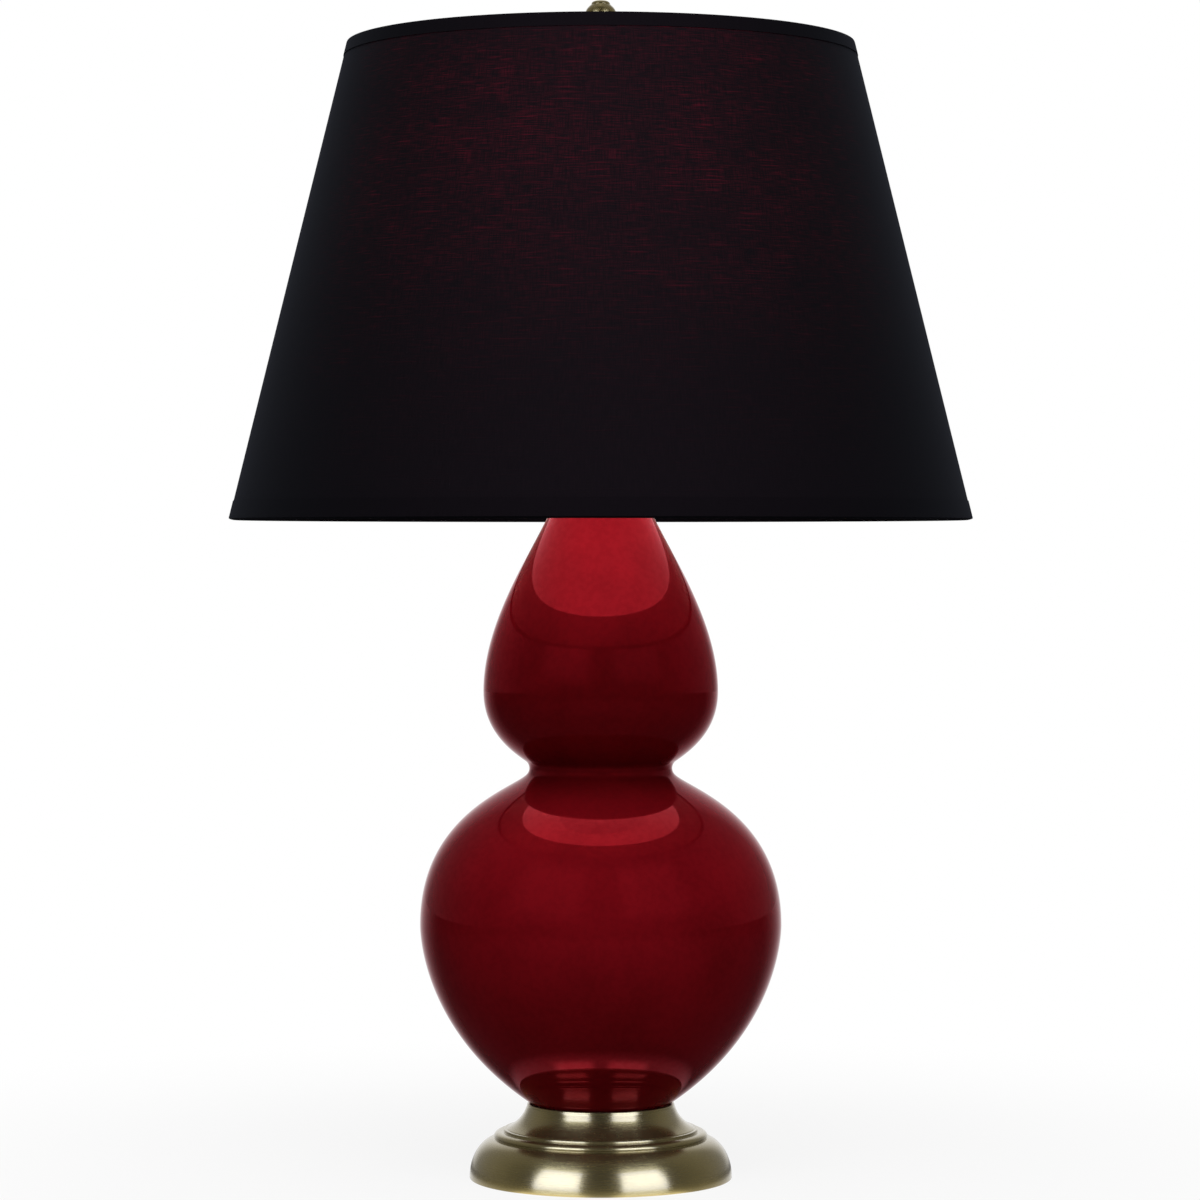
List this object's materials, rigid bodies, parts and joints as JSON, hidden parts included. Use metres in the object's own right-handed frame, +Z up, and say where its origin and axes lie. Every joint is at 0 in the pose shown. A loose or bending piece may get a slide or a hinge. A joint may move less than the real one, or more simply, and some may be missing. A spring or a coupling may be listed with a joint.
{
  "type": "table lamp",
  "caption": "Table lamp with a glazed double gourd body on a turned brass foot, and a tapered round fabric shade held on a wire harp by a finial.",
  "frame": {"origin": "centre of the felt's underside, on the table", "axes": "+Z up; the harp lies in the XZ plane; the switch knob points to -Y and the cord outlet to +Y"},
  "size_m": [0.4957, 0.4956, 0.7864],
  "materials": {
    "felt": "matte felt",
    "fibreboard": "plain fibreboard",
    "antique_brass": "satin, antiqued, lightly brushed round",
    "black_moulding": "fine matte",
    "cast_iron": "rough casting, black dip",
    "zinc_steel": "zinc plated",
    "black_rubber": "matte rubber",
    "red_glaze": "high gloss oxblood glaze with fine mottling",
    "harp_brass": "satin",
    "socket_brass": "satin",
    "fibre_sleeve": "plain fibre",
    "dark_moulding": "moulded",
    "terminal_brass": "bright",
    "screw_metal": "pressed sheet",
    "knob_moulding": "gloss moulding",
    "solder": "dull solder",
    "bulb_insulator": "black glass",
    "frosted_glass": "inside frosted",
    "clear_glass": "clear",
    "lead_wire": "drawn wire",
    "filament": "coiled wire",
    "spider_brass": "brass plated wire",
    "ring_wire": "white coated wire",
    "white_lining": "stiff white lining",
    "black_fabric": "black slub weave with light through it",
    "black_trim": "folded black tape"
  },
  "bodies": {
    "lamp_base": {"base_felt": "felt", "base_board": "fibreboard", "base_plinth": "antique_brass", "cord_bushing": "black_moulding", "base_loader": "cast_iron", "base_washer": "zinc_steel", "base_nut": "zinc_steel", "centre_rod": "zinc_steel", "seat_ring": "black_rubber", "gourd_lower": "red_glaze", "gourd_upper": "red_glaze", "cap_ring": "black_rubber", "vase_cap": "antique_brass", "neck_spacer": "antique_brass", "check_ring": "antique_brass", "harp_saddle": "harp_brass", "saddle_nut": "zinc_steel", "socket_cap": "socket_brass", "set_screw": "zinc_steel", "socket_shell": "socket_brass", "socket_sleeve": "fibre_sleeve", "socket_body": "dark_moulding", "terminal_screws": "terminal_brass", "screw_shell": "screw_metal", "centre_contact": "terminal_brass"},
    "switch": {"switch_shaft": "zinc_steel", "switch_knob": "knob_moulding"},
    "bulb_tip_contact": {"bulb_tip": "solder"},
    "bulb": {"bulb_button": "bulb_insulator", "bulb_screw_cap": "screw_metal", "bulb_glass": "frosted_glass", "bulb_stem": "clear_glass", "bulb_leads": "lead_wire", "bulb_filament": "filament"},
    "harp": {"harp_wire": "harp_brass"},
    "ferrule_left": {"harp_ferrule_left": "harp_brass"},
    "ferrule_right": {"harp_ferrule_right": "harp_brass"},
    "shade_stud": {"harp_stud": "harp_brass"},
    "shade": {"shade_hub": "spider_brass", "spider_arms": "spider_brass", "top_ring": "ring_wire", "low_ring": "ring_wire", "shade_lining": "white_lining", "shade_fabric": "black_fabric", "top_hem": "black_trim", "low_hem": "black_trim"},
    "finial_bush": {"finial_insert": "terminal_brass"},
    "finial": {"finial_knob": "antique_brass"}
  },
  "joints": [
    {"name": "switch_turn", "type": "hinge", "parent": "lamp_base", "child": "switch", "pos_m": [0, -0.019, 0.542], "axis": [0, -1, 0], "continuous": true},
    {"name": "bulb_rise", "type": "slide", "parent": "lamp_base", "child": "bulb_tip_contact", "axis": [0, 0, 1], "range_m": [0, 0.02178]},
    {"name": "bulb_unscrew", "type": "hinge", "parent": "bulb_tip_contact", "child": "bulb", "pos_m": [0, 0, 0.55], "axis": [0, 0, 1], "range_deg": [0, 2165]},
    {"name": "harp_lift", "type": "slide", "parent": "lamp_base", "child": "harp", "axis": [0, 0, 1], "range_m": [0, 0.05]},
    {"name": "ferrule_left_slide", "type": "slide", "parent": "harp", "child": "ferrule_left", "axis": [0, 0, 1], "range_m": [0, 0.012]},
    {"name": "ferrule_right_slide", "type": "slide", "parent": "harp", "child": "ferrule_right", "axis": [0, 0, 1], "range_m": [0, 0.012]},
    {"name": "shade_swivel", "type": "hinge", "parent": "harp", "child": "shade_stud", "pos_m": [0, 0, 0.742], "axis": [0, 0, 1], "continuous": true},
    {"name": "shade_lift", "type": "slide", "parent": "shade_stud", "child": "shade", "axis": [0, 0, 1], "range_m": [0, 0.32]},
    {"name": "finial_rise", "type": "slide", "parent": "shade", "child": "finial_bush", "axis": [0, 0, 1], "range_m": [0, 0.01222]},
    {"name": "finial_unscrew", "type": "hinge", "parent": "finial_bush", "child": "finial", "pos_m": [0, 0, 0.747], "axis": [0, 0, 1], "range_deg": [0, 4690]}
  ],
  "couplings": [
    {"joint": "bulb_unscrew", "follows": "bulb_rise", "rad_per_m": 1730.9},
    {"joint": "finial_unscrew", "follows": "finial_rise", "rad_per_m": 6684.2}
  ]
}
